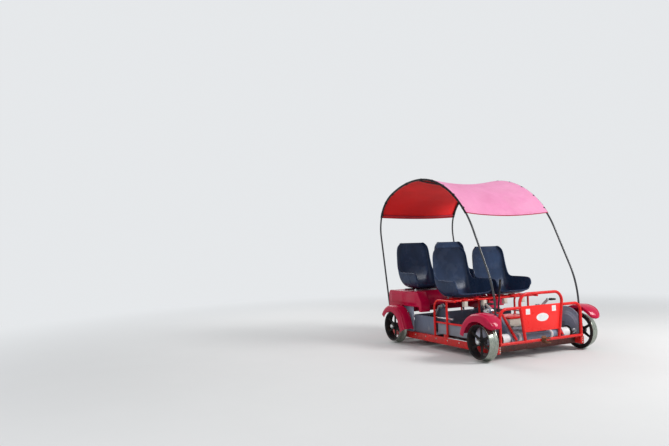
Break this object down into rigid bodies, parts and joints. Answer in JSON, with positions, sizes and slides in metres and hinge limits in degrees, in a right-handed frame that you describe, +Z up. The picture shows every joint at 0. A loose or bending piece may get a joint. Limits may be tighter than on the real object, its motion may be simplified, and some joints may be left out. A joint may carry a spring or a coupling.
{
  "type": "pedal rail car",
  "caption": "Open pedal car on flanged rail wheels, with bucket seats in two rows, fenders, a tube guard in front and a curved fabric canopy on two side bows.",
  "frame": {"origin": "on the ground line of the wheel flanges, midway across and along the car", "axes": "+Y to the rear of the car, +X to its left, +Z up"},
  "size_m": [1.65, 2.4268, 2.0673],
  "materials": {
    "brake_lever": "black paint",
    "canopy_bow_left": "dark grey paint",
    "canopy_bow_right": "dark grey paint",
    "canopy_cross_tubes": "dark grey paint",
    "canopy_fabric": "red canvas",
    "drive_unit_lid": "gloss red paint",
    "front_axle": "turned",
    "front_axle_drums": "white paint",
    "front_axle_tube": "blue-grey paint",
    "front_coupler": "rusty",
    "front_drive_unit": "white paint",
    "front_fender_left": "gloss red gelcoat",
    "front_fender_right": "gloss red gelcoat",
    "front_foot_tub": "moulded grey",
    "front_guard_frame": "gloss red paint",
    "front_left_crank": "bare",
    "front_left_pedals": "black moulding",
    "front_pedal_consoles": "moulded grey",
    "front_right_crank": "bare",
    "front_right_pedals": "black moulding",
    "front_seat_frame": "gloss red paint",
    "front_seat_left": "gloss dark blue-grey shell",
    "front_seat_right": "gloss dark blue-grey shell",
    "front_wheel_guards": "moulded grey",
    "front_wheel_left": "black paint, worn bright tread",
    "front_wheel_right": "black paint, worn bright tread",
    "pedal_struts": "gloss red paint",
    "rear_axle": "turned",
    "rear_axle_drums": "white paint",
    "rear_axle_tube": "blue-grey paint",
    "rear_coupler": "rusty",
    "rear_cowl": "gloss red gelcoat",
    "rear_fender_left": "gloss red gelcoat",
    "rear_fender_right": "gloss red gelcoat",
    "rear_foot_tub": "moulded grey",
    "rear_guard_frame": "gloss red paint",
    "rear_left_crank": "bare",
    "rear_left_pedals": "black moulding",
    "rear_pedal_consoles": "moulded grey",
    "rear_right_crank": "bare",
    "rear_right_pedals": "black moulding",
    "rear_seat_left": "gloss dark blue-grey shell",
    "rear_seat_rails": "bare",
    "rear_seat_right": "gloss dark blue-grey shell",
    "rear_side_panels": "moulded light grey",
    "rear_wheel_left": "black paint, worn bright tread",
    "rear_wheel_right": "black paint, worn bright tread",
    "seat_side_bars": "bare",
    "sign_panel": "gloss red paint",
    "step_plates": "chequered, worn",
    "underframe": "gloss red paint"
  },
  "bodies": {
    "car": {"brake_lever": "brake_lever", "canopy_bow_left": "canopy_bow_left", "canopy_bow_right": "canopy_bow_right", "canopy_cross_tubes": "canopy_cross_tubes", "canopy_fabric": "canopy_fabric", "drive_unit_lid": "drive_unit_lid", "front_axle_drums": "front_axle_drums", "front_axle_tube": "front_axle_tube", "front_coupler": "front_coupler", "front_drive_unit": "front_drive_unit", "front_fender_left": "front_fender_left", "front_fender_right": "front_fender_right", "front_foot_tub": "front_foot_tub", "front_guard_frame": "front_guard_frame", "front_pedal_consoles": "front_pedal_consoles", "front_seat_frame": "front_seat_frame", "front_seat_left": "front_seat_left", "front_seat_right": "front_seat_right", "front_wheel_guards": "front_wheel_guards", "pedal_struts": "pedal_struts", "rear_axle_drums": "rear_axle_drums", "rear_axle_tube": "rear_axle_tube", "rear_coupler": "rear_coupler", "rear_cowl": "rear_cowl", "rear_fender_left": "rear_fender_left", "rear_fender_right": "rear_fender_right", "rear_foot_tub": "rear_foot_tub", "rear_guard_frame": "rear_guard_frame", "rear_pedal_consoles": "rear_pedal_consoles", "rear_seat_left": "rear_seat_left", "rear_seat_rails": "rear_seat_rails", "rear_seat_right": "rear_seat_right", "rear_side_panels": "rear_side_panels", "seat_side_bars": "seat_side_bars", "sign_panel": "sign_panel", "step_plates": "step_plates", "underframe": "underframe"},
    "front_wheelset": {"front_axle": "front_axle", "front_wheel_left": "front_wheel_left", "front_wheel_right": "front_wheel_right"},
    "rear_wheelset": {"rear_axle": "rear_axle", "rear_wheel_left": "rear_wheel_left", "rear_wheel_right": "rear_wheel_right"},
    "front_left_cranks": {"front_left_crank": "front_left_crank", "front_left_pedals": "front_left_pedals"},
    "front_right_cranks": {"front_right_crank": "front_right_crank", "front_right_pedals": "front_right_pedals"},
    "rear_left_cranks": {"rear_left_crank": "rear_left_crank", "rear_left_pedals": "rear_left_pedals"},
    "rear_right_cranks": {"rear_right_crank": "rear_right_crank", "rear_right_pedals": "rear_right_pedals"}
  },
  "joints": [
    {"name": "front_wheelset_turn", "type": "hinge", "parent": "car", "child": "front_wheelset", "pos_m": [0, -0.96827, 0.21], "axis": [1, 0, 0], "continuous": true},
    {"name": "rear_wheelset_turn", "type": "hinge", "parent": "car", "child": "rear_wheelset", "pos_m": [0, 0.71073, 0.21], "axis": [1, 0, 0], "continuous": true},
    {"name": "front_left_pedalling", "type": "hinge", "parent": "car", "child": "front_left_cranks", "pos_m": [0.37, -0.66827, 0.484], "axis": [1, 0, 0], "continuous": true},
    {"name": "front_right_pedalling", "type": "hinge", "parent": "car", "child": "front_right_cranks", "pos_m": [-0.37, -0.66827, 0.484], "axis": [1, 0, 0], "continuous": true},
    {"name": "rear_left_pedalling", "type": "hinge", "parent": "car", "child": "rear_left_cranks", "pos_m": [0.345, 0.22773, 0.472], "axis": [1, 0, 0], "continuous": true},
    {"name": "rear_right_pedalling", "type": "hinge", "parent": "car", "child": "rear_right_cranks", "pos_m": [-0.345, 0.22773, 0.472], "axis": [1, 0, 0], "continuous": true}
  ]
}
